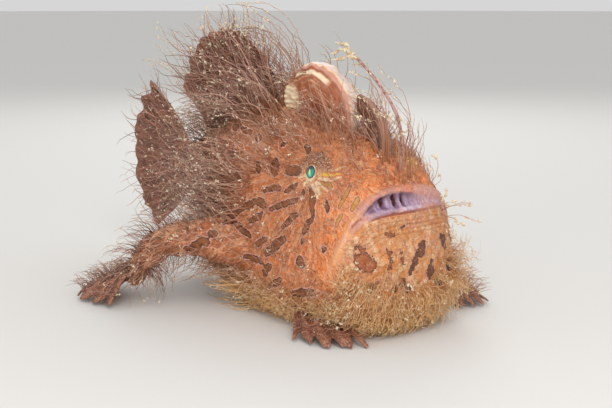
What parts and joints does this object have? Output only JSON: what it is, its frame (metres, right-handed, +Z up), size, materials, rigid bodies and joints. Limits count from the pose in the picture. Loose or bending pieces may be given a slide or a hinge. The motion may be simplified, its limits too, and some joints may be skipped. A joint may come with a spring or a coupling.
{
  "type": "striated frogfish model",
  "caption": "Life-size still model of a hairy striated frogfish resting on its belly, with a raised fishing rod and lure, a humped head spine, leg-like fins and a coat of long flat locks.",
  "frame": {"origin": "on the floor under the middle of the belly, where the belly rests flat", "axes": "+X towards the head, +Y towards the fish's left side, +Z up"},
  "size_m": [0.1171, 0.0775, 0.0693],
  "materials": {
    "skin": "orange-tan skin with brown blotches and lavender rims, under a coat of pinkish filaments",
    "chin_skin": "orange-tan skin with brown ring-like blotches and cream specks",
    "spine_skin": "thick skin, cream and pink at the rim, orange below",
    "fin": "reddish-brown web over raised rays, with filaments",
    "eye": "glossy, teal pupil in a thin cream ring",
    "lure": "pale cream, slightly banded"
  },
  "bodies": {
    "root": {"lower_jaw": "chin_skin", "head": "skin", "trunk": "skin", "tail": "skin", "eye_left": "eye", "eye_right": "eye", "second_spine": "spine_skin", "third_spine": "spine_skin", "fishing_rod": "lure", "dorsal_fin": "fin", "anal_fin": "fin", "tail_fin": "fin", "arm_right": "skin", "hand_right": "fin", "foot_right": "fin", "arm_left": "skin", "hand_left": "fin", "foot_left": "fin"}
  },
  "joints": []
}
